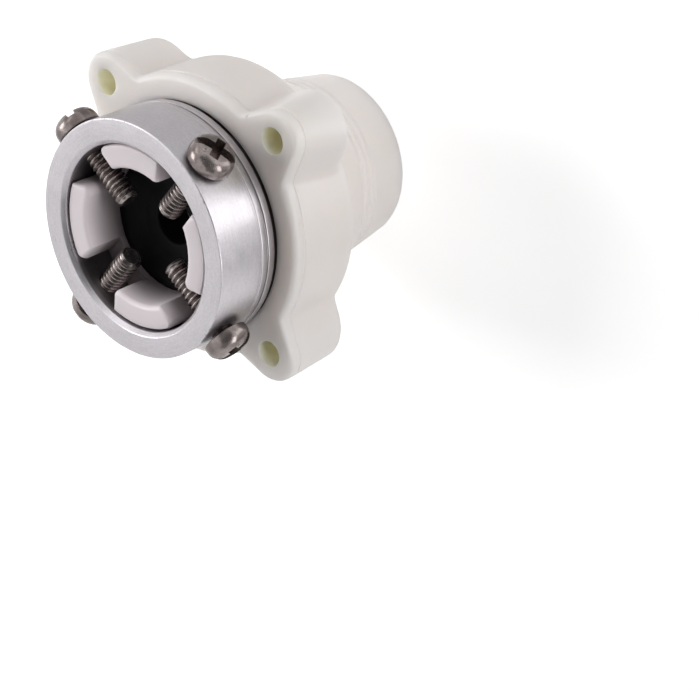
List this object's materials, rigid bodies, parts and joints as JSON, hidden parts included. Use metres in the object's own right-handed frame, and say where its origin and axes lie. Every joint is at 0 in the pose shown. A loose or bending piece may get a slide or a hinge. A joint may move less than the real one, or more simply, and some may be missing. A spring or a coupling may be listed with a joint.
{
  "type": "hose adapter",
  "caption": "Tap adapter for a hose: a clamp ring with radial screws, a petal guide plate and a rubber packing on a moulded body with grip ears and a tapered outlet tail.",
  "frame": {"origin": "on the water way's axis, in the plane of the tail's open end, on which the adapter stands", "axes": "+Z along the axis towards the tap; the four grip ears lie on +X, +Y, -X and -Y"},
  "size_m": [0.0654, 0.0654, 0.0531],
  "materials": {
    "body_plastic": "off-white moulded plastic, slightly translucent, satin",
    "packing_rubber": "plain black moulded rubber",
    "ring_aluminium": "turned aluminium, satin with fine turning lines",
    "guide_plastic": "white moulded plastic, matt",
    "screw_steel": "bright plated steel head, dull shank"
  },
  "bodies": {
    "body": {"adapter_body": "body_plastic", "rubber_packing": "packing_rubber"},
    "ring_set": {"clamp_ring": "ring_aluminium", "guide_plate": "guide_plastic"},
    "screw_1": {"clamp_screw_1": "screw_steel"},
    "screw_2": {"clamp_screw_2": "screw_steel"},
    "screw_3": {"clamp_screw_3": "screw_steel"},
    "screw_4": {"clamp_screw_4": "screw_steel"}
  },
  "joints": [
    {"name": "ring_travel", "type": "slide", "parent": "body", "child": "ring_set", "axis": [0, 0, 1], "range_m": [0, 0.003]},
    {"name": "screw_1_travel", "type": "slide", "parent": "ring_set", "child": "screw_1", "axis": [0.9938, 0.1115, 0], "range_m": [-0.0006, 0.0099]},
    {"name": "screw_2_travel", "type": "slide", "parent": "ring_set", "child": "screw_2", "axis": [-0.1115, 0.9938, 0], "range_m": [-0.0017, 0.0088]},
    {"name": "screw_3_travel", "type": "slide", "parent": "ring_set", "child": "screw_3", "axis": [-0.9938, -0.1115, 0], "range_m": [-0.0008, 0.0097]},
    {"name": "screw_4_travel", "type": "slide", "parent": "ring_set", "child": "screw_4", "axis": [0.1115, -0.9938, 0], "range_m": [-0.0006, 0.0099]}
  ]
}
